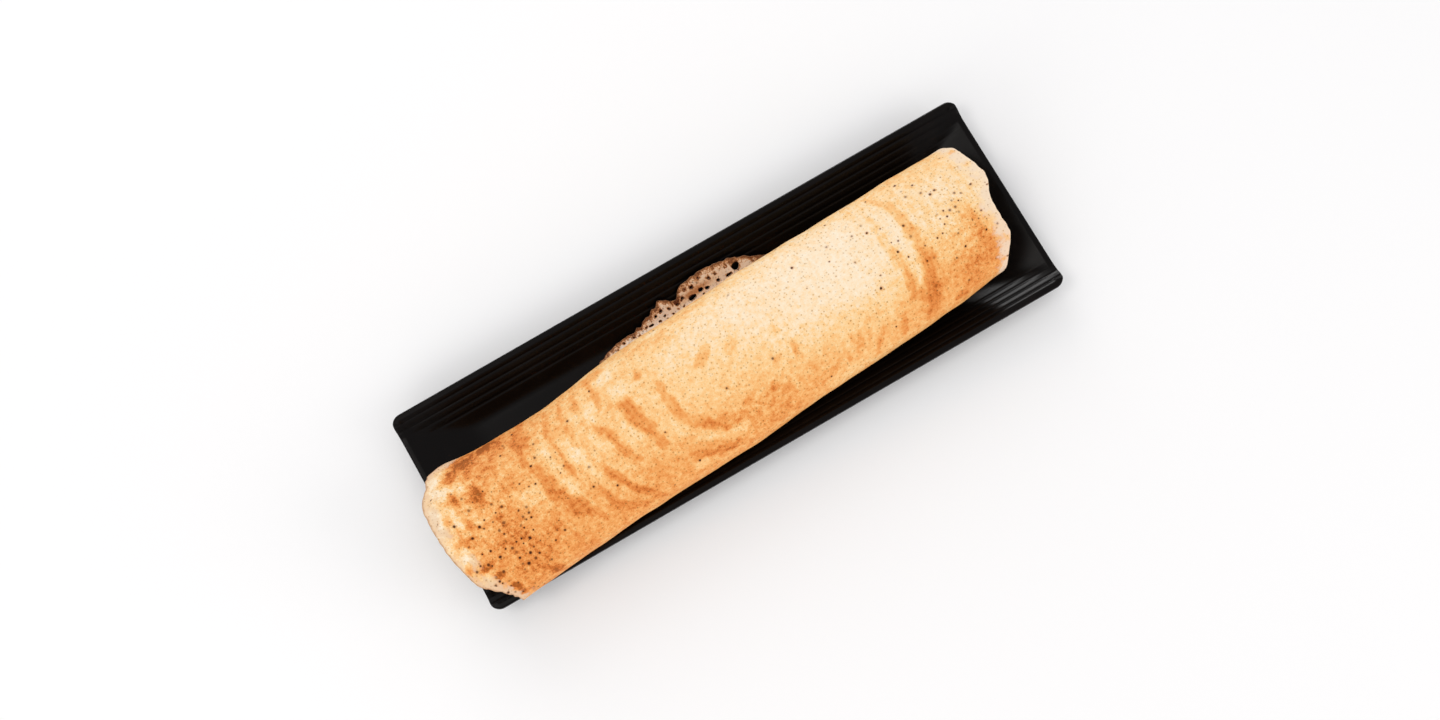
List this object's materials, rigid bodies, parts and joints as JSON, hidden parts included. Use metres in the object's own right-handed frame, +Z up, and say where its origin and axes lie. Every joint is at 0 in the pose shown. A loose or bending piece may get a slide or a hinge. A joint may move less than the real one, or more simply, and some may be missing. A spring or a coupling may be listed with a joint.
{
  "type": "masala dosa on a platter",
  "caption": "Crisp rice crepe rolled into a long loose tube with a lacy flap, lying in a black rectangular trough platter with grooved sides.",
  "frame": {"origin": "Middle of the bottom of the bounding box of the platter and dosa together, on the surface that the platter stands on.", "axes": "+X along the platter to the right end of the roll, +Y to the platter's far long side where the flap shows, +Z up."},
  "size_m": [0.3868, 0.132, 0.0598],
  "materials": {
    "platter_melamine": "satin",
    "crepe": "matte"
  },
  "bodies": {
    "root": {"plate": "platter_melamine", "dosa": "crepe"}
  },
  "joints": []
}
